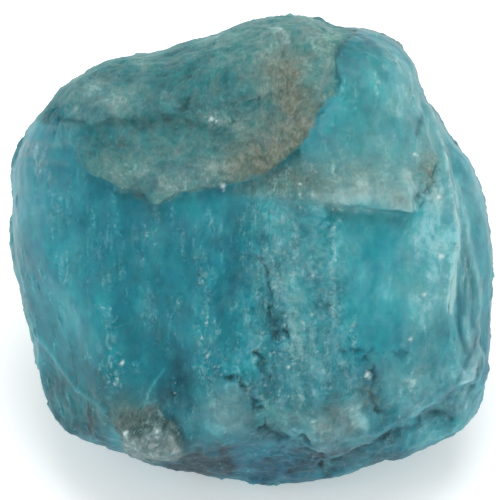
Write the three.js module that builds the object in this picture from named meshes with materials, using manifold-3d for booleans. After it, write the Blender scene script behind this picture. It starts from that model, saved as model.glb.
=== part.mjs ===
// A rough of aquamarine, the blue-green beryl, as it is broken out of its vein: one solid, 38 mm across.
//
// The crystal grew along one direction and was broken on every side. Its broad face is fluted along the growth.
// A crust covers the upper left of that face, a smooth shoulder the upper right, and the right edge falls away
// in two slabs. Below, the face ends in slanting breaks, an overhung ledge and a small knob of matrix.
//
// All lengths are millimetres. Two frames are used:
//   face frame   u to the right across the broad face, v up along the growth, w out of the face, with the origin
//                in the middle of the stone. Every feature is placed in this frame.
//   stone frame  +Z up, with the origin on the resting face straight below the middle of the stone. The stone
//                leans back on that face, so the broad face looks up and towards -Y.
import * as THREE from "three";
import { ImprovedNoise } from "three/addons/math/ImprovedNoise.js";
import { mergeVertices } from "three/addons/utils/BufferGeometryUtils.js";
import Module from "manifold-3d";

const wasm = await Module();
wasm.setup();

// ---- Driving dimensions ----

const FACE_LEAN = 50; // degrees between the broad face's outward direction and the ground
const REST_DROP = 13.6; // from the middle of the stone down to the face it rests on
const DOME_POWER = 2.6; // 2 makes an ellipsoid, more makes a flatter face with a tighter rim
const EDGE_POWER = 160; // how crisply the breaks meet: higher is sharper
const SKIN_DETAIL = 13; // subdivisions of the icosahedron that each skin starts from
const PRISM_REACH = 20; // past the stone on either side of the mid-plane
const PRISM_START = 0.5; // layers start this far from the mid-plane, so that all of them share one rim

// How far each layer stands out from the mid-plane, at the middle of the stone: first the back's, then the front's.
const BACK = 12.6;
const BACK_SLAB = 14;
const BACK_SCALE = 13.6;
const BACK_HOLLOW = 11.4;
const OUTER_SLAB = 8.8;
const SPLIT_SLAB = 10.4;
const BROAD_FACE = 12.2;
const WINDOW = 11.8;
const SHOULDER = 12.9;
const SHOULDER_LEDGE = 13.6;
const CRUST = 13.3;
const CRUST_SHELF = 14.2;
const OVERHANG = 7.8;

// The rim as seen square on to the broad face: [u, v], counter-clockwise from the right.
const RIM = [
  [18.9, 0], [18.6, 2], [18.4, 3.7], [17.7, 5.8], [16.9, 7.4], [15.5, 8.9], [15.1, 9.7], [14.6, 10.7],
  [13.4, 11.9], [13.1, 12.9], [12.9, 14.3], [11.6, 16], [9.9, 17.1], [8.1, 17.5], [6, 17.3], [5.2, 18.1],
  [4, 18.4], [2, 18.2], [0, 17.9], [-1.8, 17.1], [-5.3, 16.2], [-7.6, 15.4], [-10, 15.2], [-12.7, 14.1],
  [-15.2, 12.5], [-15.9, 11.4], [-17.3, 9.9], [-18.1, 8.1], [-18.8, 5.9], [-18.8, 3.5], [-18.8, 0],
  [-18, -3.8], [-17.1, -7.1], [-16.9, -9.6], [-16.3, -11.9], [-14.9, -14], [-13.4, -14.8], [-11.3, -15.5],
  [-9.3, -16.1], [-8, -16.6], [-6.6, -17.1], [-4, -17.5], [-1.8, -17.9], [-0.1, -18.4], [2.2, -18.5],
  [3.9, -18.3], [6.9, -17.7], [8.8, -17], [10.1, -16.4], [12, -16.4], [13, -15.7], [16, -14.4], [17.3, -13.6],
  [17.8, -12.5], [18.4, -10.5], [18.8, -7.9], [18.8, -5.5], [19, -2.4],
];

// Flat breaks across the stone, each through three points [u, v, w].
const BREAKS = [
  { name: "lower left", through: [[-17.8, -6.5, 1], [-11.1, -12.8, 8.6], [-15.4, -14.8, 0]] },
  { name: "foot", through: [[-4.5, -15.4, 6.8], [5, -15.2, 7], [1.5, -18.8, -0.5]] },
  { name: "lower middle", through: [[-5, -10.2, 11.4], [7, -10.4, 11.4], [2, -15.8, 7.2]] },
  { name: "lower right", through: [[7.5, -8.5, 11.5], [16, -8.5, 7.2], [11, -14.5, 7]] },
  { name: "back", through: [[-8, 8, -10.6], [8, 6, -12.2], [0, -9, -11.8]] },
  { name: "back left", through: [[-18.9, 3, -2.4], [-8, 9, -10.6], [-10, -8, -10.6]] },
  { name: "back lower left", through: [[-16.6, -10.6, -2], [-15.6, -2, -6], [-5, -11.5, -10.6]] },
  { name: "back right", through: [[19, -2, -2], [9.5, 7, -11.6], [11, -8, -10.8]] },
  { name: "back lower right", through: [[18.4, -10.6, -1.6], [15.2, -6, -7.4], [6, -14, -9.6]] },
  { name: "back top", through: [[-2, 18, -2], [-9, 9, -10.2], [7, 9.5, -10.4]] },
  { name: "back upper left", through: [[-15.6, 11.8, -1.4], [-9.5, 15.1, -3.4], [-9, 8.5, -9.8]] },
  { name: "back upper right", through: [[14.2, 12.6, -1.4], [5, 15.6, -5.8], [12.5, 4, -9.2]] },
  { name: "heel", through: [[-8, -17.8, -1.4], [9, -18, -1.2], [0, -12.7, -11.2]] },
];

// Smaller breaks spread over the back, each turned at random, that take off part of the way to the middle.
const CHIP_COUNT = 64; // spread over the whole round, of which only those that face back are used
const CHIP_FACING = -0.28; // w of the chips' directions is below this
const CHIP_DEPTH = { least: 0.03, most: 0.13 };
const CHIP_TURN = 0.24; // how far a chip's direction is turned from the even spread

// Ridges (height above 0) and grooves (below 0) along the growth of the broad face.
const FLUTES = [
  { u: -16.2, low: -3, high: 8, width: 1.8, height: 0.35 },
  { u: -11.4, low: -11, high: 1, width: 1.3, height: 0.35 },
  { u: -8, low: -9, high: 4, width: 2.2, height: -0.5 },
  { u: -3.4, low: -11, high: 1, width: 1.2, height: 0.4 },
  { u: -1.2, low: -7, high: 4, width: 1, height: -0.35 },
  { u: 3, low: -7, high: 4, width: 2.4, height: 0.5 },
  { u: 6.6, low: -9, high: 2, width: 1, height: 0.25 },
  { u: 13.4, low: -9, high: 4, width: 1.3, height: 0.35 },
];

// Rounded swellings (height above 0) and hollows (below 0), placed on the front (side 1) or the back (side -1).
const SWELLINGS = [
  { u: -1.8, v: -12.6, side: 1, radius: 1.9, height: 0.7 },
  { u: 6.2, v: -13.6, side: 1, radius: 2.1, height: 0.8 },
  { u: -5.8, v: -9.6, side: 1, radius: 2.4, height: -0.8 },
  { u: 1.4, v: -8.4, side: 1, radius: 1.3, height: -0.5 },
  { u: 10.5, v: 13, side: 1, radius: 4, height: 0.9 },
  { u: 12.6, v: 6.8, side: 1, radius: 2, height: 0.5 },
  { u: -12, v: 11.5, side: 1, radius: 2.6, height: 0.5 },
  { u: -6, v: 8.4, side: 1, radius: 3, height: -0.5 },
  { u: 4, v: 15, side: 1, radius: 2.6, height: 0.7 },
  { u: -6, v: 5, side: -1, radius: 4.5, height: 0.9 },
  { u: 7, v: -1, side: -1, radius: 4, height: -1.1 },
  { u: -3, v: -5, side: -1, radius: 3.2, height: -0.8 },
  { u: 5, v: 11, side: -1, radius: 3.4, height: 0.8 },
];

// Layers that stand out from what is below them, in the order in which they are laid on. Their outlines [u, v]
// may run past the rim, where only the rim counts.
const RAISED = [
  {
    name: "split slab",
    side: 1,
    level: SPLIT_SLAB,
    outline: [[15.2, 6], [16.3, 4.2], [16.9, 2], [17.2, -0.4], [17.7, -2.4], [17.9, -4.7], [17.7, -7.1],
      [18.2, -8.6], [20, -10.2], [16, -13], [13, -6], [13, 2]],
  },
  {
    name: "broad face",
    side: 1,
    level: BROAD_FACE,
    outline: [[13, 13.4], [14.3, 10.5], [14.8, 8.6], [15.3, 6.7], [15.6, 4.7], [16, 2.7], [16.1, 0.8],
      [15.6, -0.9], [15.4, -2.7], [15.2, -4.7], [15.6, -7.1], [16.2, -9], [17.4, -10.6], [20, -12.4], [19, -20],
      [-20, -20], [-22, 0], [-20, 20], [13, 21]],
  },
  {
    name: "shoulder",
    side: 1,
    level: SHOULDER,
    outline: [[6.2, 20], [6.2, 12.5], [5.3, 11.4], [4.9, 9.8], [4.3, 8.2], [3.8, 7.1], [4, 5.5], [5.5, 4.7],
      [6, 3.7], [7.3, 3.4], [9.3, 3.3], [10.9, 3], [12.4, 2.9], [12.5, 4.2], [12.7, 5.5], [13.5, 6.3],
      [13.8, 7.8], [13.5, 9.4], [13.2, 10.8], [12.8, 11.9], [15, 14], [13, 20]],
  },
  {
    name: "shoulder ledge",
    side: 1,
    level: SHOULDER_LEDGE,
    outline: [[5.8, 4.7], [7.3, 5.3], [9.7, 5.4], [12.1, 5.8], [12.5, 4.2], [12.4, 2.8], [10.9, 2.9],
      [9.3, 3.2], [7.3, 3.4], [6.2, 3.7]],
  },
  {
    name: "crust",
    side: 1,
    level: CRUST,
    outline: [[-20, 11.5], [-15.6, 9.7], [-14.5, 8.4], [-13.4, 7.8], [-13.1, 6.7], [-12.2, 5.7], [-10.9, 5.2],
      [-10.1, 4.7], [-9, 4.7], [-8.3, 4.4], [-7.6, 3.7], [-6.8, 3.6], [-5.9, 4.2], [-4.3, 4.5], [-2.9, 4.9],
      [-1.8, 4.9], [-0.4, 5.3], [0.8, 5.7], [1.8, 6.3], [2.7, 7.1], [3.6, 7.8], [4.3, 8.6], [4.7, 9.6],
      [4.8, 10.6], [5.4, 11.4], [6.4, 12.1], [6.5, 13.2], [6.4, 14.4], [6.7, 15.8], [6.6, 20], [-20, 20]],
  },
  {
    name: "crust shelf",
    side: 1,
    level: CRUST_SHELF,
    outline: [[-20, 10.3], [-15.6, 10], [-14.5, 9.7], [-13.1, 9.9], [-11.9, 9.6], [-10.5, 10.1], [-8.7, 10],
      [-7.3, 10.3], [-5.6, 10.4], [-4.3, 9.8], [-2.9, 9.6], [-1.5, 10.2], [-0.4, 11.1], [0.8, 11.4],
      [1.9, 12.4], [2.2, 13.6], [1.9, 14.9], [2.5, 16.1], [2.2, 20], [-20, 20]],
  },
  {
    name: "back slab",
    side: -1,
    level: BACK_SLAB,
    outline: [[-22, 8], [-14, 5.5], [-9.5, 7.2], [-5, 4.6], [-2.6, 6.4], [-1.2, 1.8], [0.6, -3.4], [-0.8, -8],
      [1.2, -20], [-22, -20]],
  },
  {
    name: "back scale",
    side: -1,
    level: BACK_SCALE,
    outline: [[4.4, 20], [3.6, 11.4], [5.8, 8.6], [5.2, 4.8], [8.6, 3], [12.4, 4.2], [22, 2.6], [20, 20]],
  },
];

// Places broken back to a lower level, cut in the same way.
const SUNK = [
  {
    name: "window",
    side: 1,
    level: WINDOW,
    outline: [[7.3, 3.2], [9.3, 3.1], [12.5, 2.8], [12.6, 0.5], [12, -3.6], [11.9, -7.2], [9.8, -7.9],
      [8.2, -7], [7.6, -3], [7.1, 0.2]],
  },
  {
    name: "overhung ledge",
    side: 1,
    level: OVERHANG,
    outline: [[5.5, -16.2], [6.3, -16.1], [7.6, -15.5], [9, -14.9], [10.2, -14.1], [11.3, -13.5], [12.3, -13.2],
      [13.5, -12.4], [14.8, -11.6], [15.9, -10.6], [17, -10.2], [21, -12], [18, -17], [12, -21], [5.5, -21]],
  },
  {
    name: "pit",
    side: 1,
    level: BROAD_FACE - 1.1,
    outline: [[1.1, -2.6], [1.6, -4.3], [2.3, -5.2], [3.1, -6.7], [2.9, -7.5], [2.2, -7], [1.6, -6.7], [1, -5]],
  },
  {
    name: "back hollow",
    side: -1,
    level: BACK_HOLLOW,
    outline: [[4.5, -1.5], [8.5, 0.4], [13, -1.2], [15.5, -5.5], [11, -9], [6.4, -8.2], [3.8, -5]],
  },
];

const RAGGED_STEP = 0.9; // spacing of the points along a broken edge
const RAGGED_SWING = 0.32; // how far a broken edge wanders
const RAGGED_WAVE = 0.83; // length of its waves

// Waves over the whole skin: their length and their height on either side. They fade out towards the rim.
const WAVES = [
  { wave: 7, front: 0.5, back: 0.25 },
  { wave: 3.2, front: 0.25, back: 0.25 },
];
const RELIEF_FADE = { from: 1, to: 7 }; // distances from the mid-plane

// The knob of pale matrix that stands out of the lower left.
const MATRIX_KNOB = { u: -7.7, v: -13.9, radii: [2.6, 2.1, 0.9], turn: -0.6, roughness: 0.3, wave: 0.7, detail: 4 };

// ---- Noise ----

const perlin = new ImprovedNoise();

/** Smooth noise of about -1 to 1, whose waves are `wave` long. */
function ripple(point, wave, shift = 0) {
  return perlin.noise(point.x / wave + shift, point.y / wave + 2 * shift, point.z / wave + 17.3);
}

// ---- The skin: a point of the stone's surface for each direction from its middle ----

const rimCurve = new THREE.CatmullRomCurve3(RIM.map(([u, v]) => new THREE.Vector3(u, v, 0)), true, "centripetal");
const rimPoints = rimCurve.getPoints(720).slice(1);
const RIM_STEPS = 360;

/** Distance from the middle to the rim at whole degrees in the face plane, from -180 up. */
const rimByDegree = Array.from({ length: RIM_STEPS }, (_, degree) => {
  const ray = THREE.MathUtils.degToRad(degree - 180);
  const turnsAway = (p) => 1 - Math.cos(Math.atan2(p.y, p.x) - ray);
  const [nearest, second] = [...rimPoints].sort((p, q) => turnsAway(p) - turnsAway(q));
  return (Math.hypot(nearest.x, nearest.y) + Math.hypot(second.x, second.y)) / 2;
});

function rimRadius(angle) {
  const degree = THREE.MathUtils.radToDeg(angle) + 180;
  const below = Math.floor(degree);
  return THREE.MathUtils.lerp(rimByDegree[below % RIM_STEPS], rimByDegree[(below + 1) % RIM_STEPS], degree - below);
}

/** The large breaks as planes whose normals point away from the middle. */
const breakPlanes = BREAKS.map(({ through }) => {
  const [a, b, c] = through.map((p) => new THREE.Vector3(...p));
  const plane = new THREE.Plane().setFromCoplanarPoints(a, b, c);
  return plane.constant > 0 ? plane.negate() : plane;
});

/** 1 between low and high, falling smoothly to 0 over `fade` past either end. */
function stretch(value, low, high, fade) {
  return (
    THREE.MathUtils.smoothstep(value, low - fade, low + fade) *
    (1 - THREE.MathUtils.smoothstep(value, high - fade, high + fade))
  );
}

/** Height of the flutes, swellings and waves at a point of the skin. The rim is left as it is. */
function relief(point) {
  const side = Math.sign(point.z);
  let height = 0;
  WAVES.forEach(({ wave, front, back }, i) => {
    height += (side > 0 ? front : back) * ripple(point, wave, 5 * i);
  });
  for (const flute of side > 0 ? FLUTES : []) {
    const across = (point.x - flute.u - 0.5 * ripple(point, 6, 3)) / flute.width;
    height += flute.height * Math.exp(-across * across) * stretch(point.y, flute.low, flute.high, 1.5);
  }
  for (const swelling of SWELLINGS.filter((s) => s.side === side)) {
    const far = Math.hypot(point.x - swelling.u, point.y - swelling.v) / swelling.radius;
    height += swelling.height * Math.exp(-far * far);
  }
  return height * THREE.MathUtils.smoothstep(Math.abs(point.z), RELIEF_FADE.from, RELIEF_FADE.to);
}

/** How far the bare stone reaches in a direction, before its relief: the dome over the rim, cut by the planes. */
function reach(direction, planes) {
  const inPlane = Math.hypot(direction.x, direction.y) / rimRadius(Math.atan2(direction.y, direction.x));
  const outOfPlane = Math.abs(direction.z) / (direction.z > 0 ? BROAD_FACE : BACK);
  let nearness = (inPlane ** DOME_POWER + outOfPlane ** DOME_POWER) ** (EDGE_POWER / DOME_POWER);
  for (const plane of planes) {
    nearness += (Math.max(plane.normal.dot(direction), 0) / -plane.constant) ** EDGE_POWER;
  }
  return nearness ** (-1 / EDGE_POWER);
}

/** Directions spread evenly over a ball. */
function evenDirections(count) {
  const goldenTurn = Math.PI * (3 - Math.sqrt(5));
  return Array.from({ length: count }, (_, i) => {
    const w = 1 - (2 * i + 1) / count;
    const away = Math.sqrt(1 - w * w);
    return new THREE.Vector3(away * Math.cos(i * goldenTurn), away * Math.sin(i * goldenTurn), w);
  });
}

/** Points of the bare stone's surface, evenly spread. */
const barePoints = evenDirections(2000).map((direction) => direction.multiplyScalar(reach(direction, breakPlanes)));

/** Planes that each take a shallow cap off the back and leave the rim whole. */
const chipPlanes = evenDirections(CHIP_COUNT)
  .filter((direction) => direction.z < CHIP_FACING)
  .map((direction, i) => {
    const turned = new THREE.Vector3(ripple(direction, 0.37, 2), ripple(direction, 0.37, 7), 0);
    const normal = direction.clone().addScaledVector(turned, CHIP_TURN).normalize();
    const furthest = Math.max(...barePoints.map((p) => p.dot(normal)));
    const clearOfRim = Math.max(...rimPoints.map((p) => p.dot(normal)));
    const share = 0.5 + 0.5 * Math.sin(2.4 * i);
    const depth = THREE.MathUtils.lerp(CHIP_DEPTH.least, CHIP_DEPTH.most, share);
    return new THREE.Plane(normal, -Math.max(furthest * (1 - depth), clearOfRim));
  });
const allPlanes = [...breakPlanes, ...chipPlanes];

/** The point of the stone's surface in a direction, with its front and back standing that far from the mid-plane. */
function skinPoint(direction, frontDepth, backDepth) {
  const raised = direction.z > 0 ? frontDepth / BROAD_FACE : backDepth / BACK;
  const lowered = new THREE.Vector3(direction.x, direction.y, direction.z / raised);
  const point = direction.clone().multiplyScalar(reach(lowered, allPlanes));
  return point.addScaledVector(direction, relief(point));
}

/** A closed surface around the middle, with its front and back standing that far from the mid-plane. */
function skin(frontDepth, backDepth) {
  const geometry = new THREE.IcosahedronGeometry(1, SKIN_DETAIL);
  const position = geometry.getAttribute("position");
  const direction = new THREE.Vector3();
  for (let i = 0; i < position.count; i++) {
    direction.fromBufferAttribute(position, i).normalize();
    position.setXYZ(i, ...skinPoint(direction, frontDepth, backDepth));
  }
  return geometry;
}

/** The point of the broad face straight above [u, v, 0]. */
function broadFacePoint(u, v) {
  const point = new THREE.Vector3(u, v, 0);
  for (let step = BROAD_FACE / 2; step > 0.01; step /= 2) {
    const further = new THREE.Vector3(u, v, point.z + step);
    const surface = skinPoint(further.clone().normalize(), BROAD_FACE, BACK);
    if (further.length() < surface.length()) point.copy(further);
  }
  return point;
}

// ---- Solids ----

function toSolid(geometry) {
  const bare = geometry.clone();
  bare.deleteAttribute("normal");
  bare.deleteAttribute("uv");
  const merged = mergeVertices(bare, 1e-4);
  return new wasm.Manifold(
    new wasm.Mesh({
      numProp: 3,
      vertProperties: merged.attributes.position.array,
      triVerts: new Uint32Array(merged.index.array),
    }),
  );
}

function toGeometry(solid) {
  const mesh = solid.getMesh();
  const geometry = new THREE.BufferGeometry();
  geometry.setAttribute("position", new THREE.BufferAttribute(mesh.vertProperties, 3));
  geometry.setIndex(new THREE.BufferAttribute(mesh.triVerts, 1));
  geometry.computeVertexNormals();
  return geometry;
}

/** The outline with points every RAGGED_STEP, each moved a little, as the edge of a broken layer is. */
function ragged(outline, seed) {
  const points = [];
  outline.forEach(([u, v], i) => {
    const start = new THREE.Vector3(u, v, 0);
    const end = new THREE.Vector3(...outline[(i + 1) % outline.length], 0);
    const pieces = Math.max(1, Math.round(start.distanceTo(end) / RAGGED_STEP));
    for (let k = 0; k < pieces; k++) {
      const point = start.clone().lerp(end, k / pieces);
      const du = RAGGED_SWING * ripple(point, RAGGED_WAVE, seed);
      const dv = RAGGED_SWING * ripple(point, RAGGED_WAVE, seed + 9);
      points.push(new THREE.Vector2(point.x + du, point.y + dv));
    }
  });
  return points;
}

/** A straight prism on a layer's outline, on its side of the mid-plane. */
function prism({ outline, side }, seed) {
  const geometry = new THREE.ExtrudeGeometry(new THREE.Shape(ragged(outline, seed)), {
    depth: PRISM_REACH - PRISM_START,
    bevelEnabled: false,
  });
  geometry.translate(0, 0, side > 0 ? PRISM_START : -PRISM_REACH);
  return toSolid(geometry);
}

/** The skin with one side brought to a layer's level. */
function skinAtLevel({ side, level }) {
  return toSolid(side > 0 ? skin(level, BACK) : skin(OUTER_SLAB, level));
}

/** A flat lump on the broad face, turned to lie along it. */
function matrixKnob() {
  const { u, v, radii, turn, roughness, wave, detail } = MATRIX_KNOB;
  const geometry = new THREE.IcosahedronGeometry(1, detail);
  const position = geometry.getAttribute("position");
  const point = new THREE.Vector3();
  for (let i = 0; i < position.count; i++) {
    point.fromBufferAttribute(position, i);
    point.multiplyScalar(1 + roughness * ripple(point, wave));
    position.setXYZ(i, point.x * radii[0], point.y * radii[1], point.z * radii[2]);
  }
  const seat = broadFacePoint(u, v);
  const outward = new THREE.Triangle(seat, broadFacePoint(u + 1, v), broadFacePoint(u, v + 1)).getNormal(seat.clone());
  geometry.rotateZ(turn);
  geometry.applyQuaternion(new THREE.Quaternion().setFromUnitVectors(new THREE.Vector3(0, 0, 1), outward));
  geometry.translate(...seat);
  return toSolid(geometry);
}

/** The whole stone in the face frame, before it gets its resting face. */
function looseStone() {
  let stone = toSolid(skin(OUTER_SLAB, BACK));
  RAISED.forEach((layer, i) => {
    stone = stone.add(skinAtLevel(layer).intersect(prism(layer, i)));
  });
  SUNK.forEach((layer, i) => {
    stone = stone.subtract(prism(layer, i + RAISED.length).subtract(skinAtLevel(layer)));
  });
  return stone.add(matrixKnob());
}

// ---- The stone, leaning back on its resting face ----

const lean = THREE.MathUtils.degToRad(FACE_LEAN);
const faceToStone = new THREE.Matrix4()
  .makeBasis(
    new THREE.Vector3(1, 0, 0),
    new THREE.Vector3(0, Math.sin(lean), Math.cos(lean)),
    new THREE.Vector3(0, -Math.cos(lean), Math.sin(lean)),
  )
  .setPosition(0, 0, REST_DROP);

const GROUND = 80; // size of the block that cuts the resting face
const belowGround = new THREE.BoxGeometry(GROUND, GROUND, GROUND).translate(0, 0, -GROUND / 2);
const stoneSolid = toSolid(toGeometry(looseStone()).applyMatrix4(faceToStone)).subtract(toSolid(belowGround));

const beryl = new THREE.MeshStandardMaterial({ color: 0x4a94a2, roughness: 0.45, metalness: 0, flatShading: true });
const aquamarine = new THREE.Mesh(toGeometry(stoneSolid), beryl);
aquamarine.name = "aquamarine";

const rough = new THREE.Group();
rough.add(aquamarine);

export default rough;
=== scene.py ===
# %% [markdown]
# # A rough of aquamarine
#
# Aquamarine is blue-green beryl. This piece was broken out of its vein, so no clean prism is left: there is
# a broad face with the flutes of the crystal's growth, a grey-green crust over its upper left, a smooth
# shoulder, slabs that step down on the right, slanting breaks below and a knob of other rock at the foot.
# The stone's solid, at its real size, is loaded as a fixed frame. What is made here is its surface: a dense
# skin over that solid, carved in code, and one finish that changes from zone to zone.

import math
from collections import namedtuple

import bmesh
import bpy
import numpy as np
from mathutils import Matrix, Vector, noise


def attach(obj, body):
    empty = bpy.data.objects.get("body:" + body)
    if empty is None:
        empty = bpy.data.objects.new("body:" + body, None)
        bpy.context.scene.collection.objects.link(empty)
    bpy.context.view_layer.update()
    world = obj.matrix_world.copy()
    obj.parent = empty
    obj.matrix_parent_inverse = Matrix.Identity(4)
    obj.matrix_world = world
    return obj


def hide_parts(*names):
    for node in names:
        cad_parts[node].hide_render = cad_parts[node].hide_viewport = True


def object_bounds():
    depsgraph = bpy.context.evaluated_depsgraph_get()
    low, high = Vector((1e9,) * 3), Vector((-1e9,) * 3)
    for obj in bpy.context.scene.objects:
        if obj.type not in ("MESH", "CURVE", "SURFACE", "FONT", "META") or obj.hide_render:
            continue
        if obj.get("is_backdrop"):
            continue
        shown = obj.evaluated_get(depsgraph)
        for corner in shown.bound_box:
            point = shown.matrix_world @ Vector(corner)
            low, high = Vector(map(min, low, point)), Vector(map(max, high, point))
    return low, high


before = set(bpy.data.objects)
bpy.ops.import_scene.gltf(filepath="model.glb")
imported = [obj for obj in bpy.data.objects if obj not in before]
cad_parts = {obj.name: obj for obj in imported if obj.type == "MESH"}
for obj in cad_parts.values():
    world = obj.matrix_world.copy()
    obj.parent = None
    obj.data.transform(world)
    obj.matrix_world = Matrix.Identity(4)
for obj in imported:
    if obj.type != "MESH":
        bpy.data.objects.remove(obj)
cad_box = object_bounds()

MM = 0.001  # the scene is in metres, and the stone is described in millimetres
print("frame:", sorted(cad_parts))
print("box in mm:", [[round(c / MM, 1) for c in corner] for corner in cad_box])

# %% [markdown]
# ## The face frame
#
# Every mark on the stone is easiest to place as it is seen square on to the broad face: u to the right, v up
# along the growth of the crystal, w out of the face, all in millimetres from the middle of the stone. The
# stone leans back on its resting face, so this frame is turned about the X axis. Two short functions go there
# and back.

# %% From the scene to the face frame and back
FACE_LEAN = math.radians(50)  # between the broad face's outward direction and the ground
REST_DROP = 13.6  # mm from the middle of the stone down to the face it rests on

U_AXIS = np.array([1.0, 0.0, 0.0])
V_AXIS = np.array([0.0, math.sin(FACE_LEAN), math.cos(FACE_LEAN)])
W_AXIS = np.array([0.0, -math.cos(FACE_LEAN), math.sin(FACE_LEAN)])
FACE_AXES = np.array([U_AXIS, V_AXIS, W_AXIS])
MIDDLE = np.array([0.0, 0.0, REST_DROP])


def to_face(points):
    """Scene positions in metres as [u, v, w] in mm."""
    return (points / MM - MIDDLE) @ FACE_AXES.T


def to_scene(face_points):
    """Positions [u, v, w] in mm as scene positions in metres."""
    return (face_points @ FACE_AXES + MIDDLE) * MM


print("the middle of the stone is", round(to_scene(np.zeros(3))[2] / MM, 1), "mm above the ground")

# %% [markdown]
# ## Camera, floor and light
#
# The stone is small, so it is looked at through a long lens from half a metre away, square on to the broad
# face. The floor is plain and nearly white. A wide overhead panel makes the ledges throw soft shadows
# downwards, a weaker one fills in from the left, and pale surroundings keep the underside from going black.

# %% The camera
LENS = 500.0  # mm
SENSOR = 36.0  # mm
VIEW_WIDTH = 39.18  # mm seen across the picture at the middle of the stone
VIEW_CENTRE = np.array([-0.12, 0.0, 0.0])  # the point of the face frame in the middle of the picture
camera_distance = VIEW_WIDTH * LENS / SENSOR

camera_data = bpy.data.cameras.new("camera")
camera_data.lens = LENS
camera_data.sensor_width = SENSOR
camera_data.clip_start = 0.01
camera_data.clip_end = 20.0
camera = bpy.data.objects.new("camera", camera_data)
camera.location = to_scene(VIEW_CENTRE + np.array([0.0, 0.0, camera_distance]))
camera.rotation_euler = (math.pi / 2 - FACE_LEAN, 0.0, 0.0)
bpy.context.scene.collection.objects.link(camera)
bpy.context.scene.camera = camera
print("camera", round(camera_distance), "mm from the middle of the stone")

# %% The floor
FLOOR_SIZE = 3.0  # metres
FLOOR_GLOW = 0.3  # a lit table: it keeps the ground white beside the stone


def srgb(red, green, blue):
    """A colour of 0 to 255 per channel, as a colour picker shows it, in the linear values of shaders."""
    shares = [c / 255 for c in (red, green, blue)]
    return tuple(c / 12.92 if c <= 0.04 else ((c + 0.055) / 1.055) ** 2.4 for c in shares)


bpy.ops.mesh.primitive_plane_add(size=FLOOR_SIZE)
floor = bpy.context.object
floor.name = "floor"
floor_paint = bpy.data.materials.new("floor_white")
floor_paint.use_nodes = True
floor_shader = floor_paint.node_tree.nodes["Principled BSDF"]
floor_shader.inputs["Base Color"].default_value = (*srgb(250, 250, 250), 1.0)
floor_shader.inputs["Roughness"].default_value = 0.9
floor_shader.inputs["Specular IOR Level"].default_value = 0.1
floor_shader.inputs["Emission Color"].default_value = (1.0, 1.0, 1.0, 1.0)
floor_shader.inputs["Emission Strength"].default_value = FLOOR_GLOW
floor.data.materials.append(floor_paint)
floor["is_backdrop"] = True

# %% The lights
WORLD_LIGHT = 0.62


def soft_panel(name, place, size, watts):
    """A square light panel in metres that faces the stone."""
    data = bpy.data.lights.new(name, "AREA")
    data.shape = "SQUARE"
    data.size = size
    data.energy = watts
    panel = bpy.data.objects.new(name, data)
    panel.location = place
    to_stone = Vector(to_scene(np.zeros(3))) - Vector(place)
    panel.rotation_euler = to_stone.to_track_quat("-Z", "Y").to_euler()
    bpy.context.scene.collection.objects.link(panel)


soft_panel("overhead_panel", (0.05, 0.16, 0.64), 0.4, 2.2)
soft_panel("left_panel", (-0.6, -0.25, 0.45), 0.4, 0.45)

world = bpy.data.worlds.new("pale_surroundings")
world.use_nodes = True
world.node_tree.nodes["Background"].inputs["Color"].default_value = (1.0, 1.0, 1.0, 1.0)
world.node_tree.nodes["Background"].inputs["Strength"].default_value = WORLD_LIGHT
bpy.context.scene.world = world
bpy.context.scene.view_settings.view_transform = "Standard"
print("lights:", [light.name for light in bpy.data.lights])

# %% [markdown]
# ## A dense skin over the solid
#
# The solid has facets of about a millimetre, far coarser than the grain of the stone. A voxel remesh gives an
# even skin over it that keeps every ledge. It may close off a bubble of a few faces in a narrow recess, so
# only the largest shell is kept: the stone is one closed form. The front is then divided once more, since that
# is where the fine forms are, and the skin is relaxed a little to take away the steps that voxels leave.
# A subdivision surface would have rounded the ledges off, and one very fine remesh would spend most of its
# faces on the back.

# %% Remesh
VOXEL = 0.355  # mm

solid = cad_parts["aquamarine"]
stone = bpy.data.objects.new("rough_aquamarine", solid.data.copy())
bpy.context.scene.collection.objects.link(stone)
stone.data.materials.clear()
remesh = stone.modifiers.new("even_skin", "REMESH")
remesh.mode = "VOXEL"
remesh.voxel_size = VOXEL * MM
dense = bpy.data.meshes.new_from_object(stone.evaluated_get(bpy.context.evaluated_depsgraph_get()))
stone.modifiers.clear()
print("remeshed:", len(dense.polygons), "faces")

# %% Keep the largest shell
skin = bmesh.new()
skin.from_mesh(dense)
shells, seen = [], set()
for seed in skin.verts:
    if seed not in seen:
        seen.add(seed)
        shell = [seed]
        for point in shell:  # the list grows while it is walked
            for other in [edge.other_vert(point) for edge in point.link_edges]:
                if other not in seen:
                    seen.add(other)
                    shell.append(other)
        shells.append(shell)
shells.sort(key=len)
bmesh.ops.delete(skin, geom=[point for shell in shells[:-1] for point in shell], context="VERTS")
print(len(shells) - 1, "bubbles taken out")

# %% Divide the front and relax
FRONT_FACING = 0.29  # faces that turn at least this much towards w are divided again
RELAX_ROUNDS = 2

skin.normal_update()
out_of_face = Vector(W_AXIS)
front_faces = [face for face in skin.faces if face.normal.dot(out_of_face) > FRONT_FACING]
front_edges = list({edge for face in front_faces for edge in face.edges})
bmesh.ops.subdivide_edges(skin, edges=front_edges, cuts=1, use_grid_fill=True)
all_ways = {"use_axis_x": True, "use_axis_y": True, "use_axis_z": True}
for _ in range(RELAX_ROUNDS):
    bmesh.ops.smooth_vert(skin, verts=skin.verts, factor=0.5, **all_ways)
skin.to_mesh(dense)
skin.free()
stone.data = dense
triangles = sum(len(p.vertices) - 2 for p in dense.polygons)
print("skin:", len(dense.vertices), "points,", triangles, "triangles")

# %% [markdown]
# ## What each point of the skin knows
#
# The carving and the colours both ask the same questions of a point: where is it in the face frame, which way
# does it face, and does it stand above or below its surroundings? These are worked out once, for all points
# together, as arrays. A point's surroundings come from averaging it with its neighbours again and again.
# The same averaging first bridges the one deep pit of the solid. The stone has only cracks among grains there,
# which are cut further down.

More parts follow.
